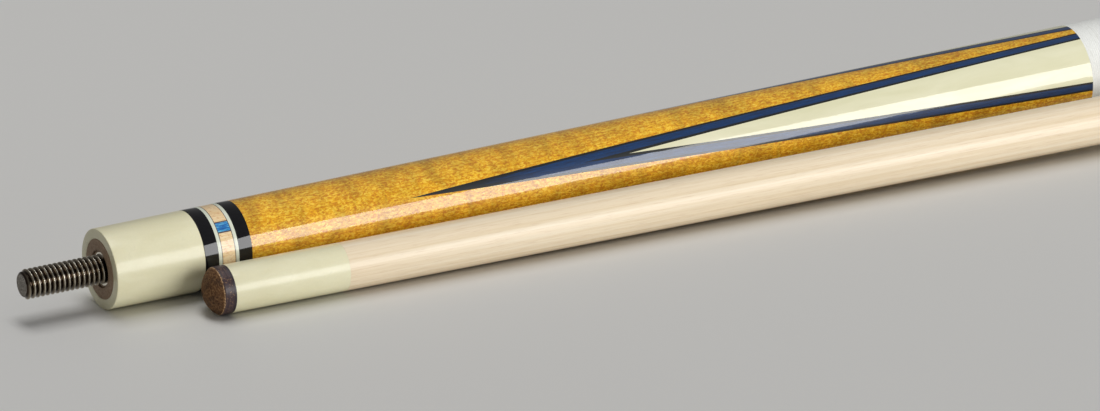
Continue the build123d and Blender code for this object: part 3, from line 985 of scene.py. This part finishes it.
# ================================================================ butt end
def bumper():
    """Rubber bumper: rounded head with a moulded step and a dished end, on its stem."""
    solid = BUMPER.solid("bumper")
    head = max(r for _, r, _ in solid.points)
    seat = min(x for x, r, _ in solid.points if r > head - NEAR)
    edge_length, edge_depth = BUMPER_EDGE
    outline = [
        (solid.x0, 0),
        (solid.x0, solid.r0 - STEM_CHAMFER),
        (solid.x0 + STEM_CHAMFER, solid.r0),
        (seat, solid.r0),
        (seat, head),
        (seat + BUMPER_STEP, head),
        (seat + BUMPER_STEP + edge_length, head - edge_depth),
    ]
    outline += [(solid.x1 - back, head - inward) for back, inward in BUMPER_HEAD]
    outline.append((solid.x1 - BUMPER_DISH, 0))
    turned("bumper_rubber", BUMPER, outline, "bumper_rubber", ["bumper"], BUMPER_CORNER)


# ================================================================ the cue
groove_lines = [Groove(name + "_1") for name in LAYERS]
threaded_pin()
rings(BUTT, "joint_collar", butt_radius, COLLAR_CORNER)
for node in ("ring_black_front", "ring_white_front", "ring_white_rear", "ring_black_rear", "ring_lines"):
    rings(BUTT, node, butt_radius)
blue_nodes = [f"ring_blue_{k}" for k in POINTS]
maple_nodes = [f"ring_maple_{k}" for k in POINTS]
inlaid_ring(BUTT, blue_nodes, maple_nodes, "ring_liners", butt_radius)
forearm(groove_lines[0])
point_layers(groove_lines)
wound_wrap()
for half, prefix, radius_at in ((BUTT, "sleeve_ring", butt_radius), (SHAFT, "shaft_ring", shaft_radius)):
    rings(half, prefix + "_black", radius_at)
    rings(half, prefix + "_white", radius_at)
    inlaid_ring(half, [prefix + "_blue"], [prefix + "_maple"], prefix + "_dark", radius_at)
rings(BUTT, "butt_sleeve", butt_radius)
rings(BUTT, "cap_ring", butt_radius)
rings(BUTT, "butt_cap", butt_radius, CAP_CORNER)
bumper()
tip()
shaft_front()
shaft_wood()
rings(SHAFT, "shaft_collar", shaft_radius, COLLAR_CORNER)
threaded_insert()
for node in ("handle", "joint_screw", "weight_bolt"):       # hidden pieces keep their CAD shapes
    frame["nodes"][node].data.materials.clear()
    frame["nodes"][node].data.materials.append(MATERIALS[SLOTS[node]])


# ================================================================ floor, lights and camera
def floor():
    """A plain pale floor under everything."""
    data = bpy.data.meshes.new("floor")
    near, far = -FLOOR_REACH, FLOOR_REACH
    data.from_pydata([(near, near, 0), (far, near, 0), (far, far, 0), (near, far, 0)], [], [(0, 1, 2, 3)])
    g = Graph("floor", Specular_IOR_Level=0.2, Roughness=0.6)
    g.set("Base Color", g.ramp(g.noise(900, 900), (0.3, tone(236, 235, 232)), (0.7, tone(240, 239, 236))))
    data.materials.append(g.material)
    plane = bpy.data.objects.new("floor", data)
    bpy.context.scene.collection.objects.link(plane)
    return plane


def softbox(name, place, aim, width, height, radiance):
    """A rectangular light of this brightness, its width level, that the camera doesn't see itself."""
    light = bpy.data.lights.new(name, "AREA")
    light.shape, light.size, light.size_y = "RECTANGLE", width, height
    light.energy = radiance * math.pi * width * height
    lamp = bpy.data.objects.new(name, light)
    lamp.location = place
    lamp.rotation_mode = "QUATERNION"
    lamp.rotation_quaternion = (Vector(aim) - Vector(place)).to_track_quat("-Z", "Y")
    lamp.visible_camera = False
    bpy.context.scene.collection.objects.link(lamp)
    return lamp


def keep_off(lamp, piece):
    """Light linking: the lamp lights everything but this piece."""
    unlit = bpy.data.collections.new(lamp.name + "_unlit")
    unlit.objects.link(piece)
    unlit.collection_objects[0].light_linking.link_state = "EXCLUDE"
    lamp.light_linking.receiver_collection = unlit


def world(brightness):
    """Even white light from all around."""
    made = bpy.data.worlds.new("studio")
    made.use_nodes = True
    background = made.node_tree.nodes["Background"]
    background.inputs["Color"].default_value = (1.0, 1.0, 1.0, 1)
    background.inputs["Strength"].default_value = brightness
    bpy.context.scene.world = made


def camera():
    """Low and from the joint end, through a long lens."""
    data = bpy.data.cameras.new("camera")
    data.sensor_width = CAMERA_SENSOR
    data.lens = CAMERA_LENS
    data.clip_start, data.clip_end = CAMERA_CLIP
    eye = bpy.data.objects.new("camera", data)
    forward = Vector((
        math.cos(CAMERA_DOWN) * math.sin(CAMERA_YAW),
        math.cos(CAMERA_DOWN) * math.cos(CAMERA_YAW),
        -math.sin(CAMERA_DOWN),
    ))
    level = Vector((math.cos(CAMERA_YAW), -math.sin(CAMERA_YAW), 0))
    up = level.cross(forward)
    right = level * math.cos(CAMERA_ROLL) + up * math.sin(CAMERA_ROLL)
    up = up * math.cos(CAMERA_ROLL) - level * math.sin(CAMERA_ROLL)
    turn = Matrix((right, up, -forward)).transposed().to_4x4()
    joint = BUTT.matrix.translation
    place = Vector((joint.x, joint.y, 0)) + Vector(CAMERA_FROM_JOINT) * MM
    eye.matrix_world = Matrix.Translation(place) @ turn
    bpy.context.scene.collection.objects.link(eye)
    bpy.context.scene.camera = eye


ground = floor()
front_light = softbox(
    "front_softbox", place=(0.75, -1.85, 0.50), aim=(-0.05, 0, 0), width=1.8, height=1.12, radiance=6.5
)
keep_off(front_light, ground)
softbox("overhead_softbox", place=(-0.1, 0.3, 2.2), aim=(-0.1, 0, 0), width=0.8, height=2.0, radiance=4.1)
world(WORLD_BRIGHTNESS)
camera()
bpy.context.scene.view_settings.view_transform = "Standard"
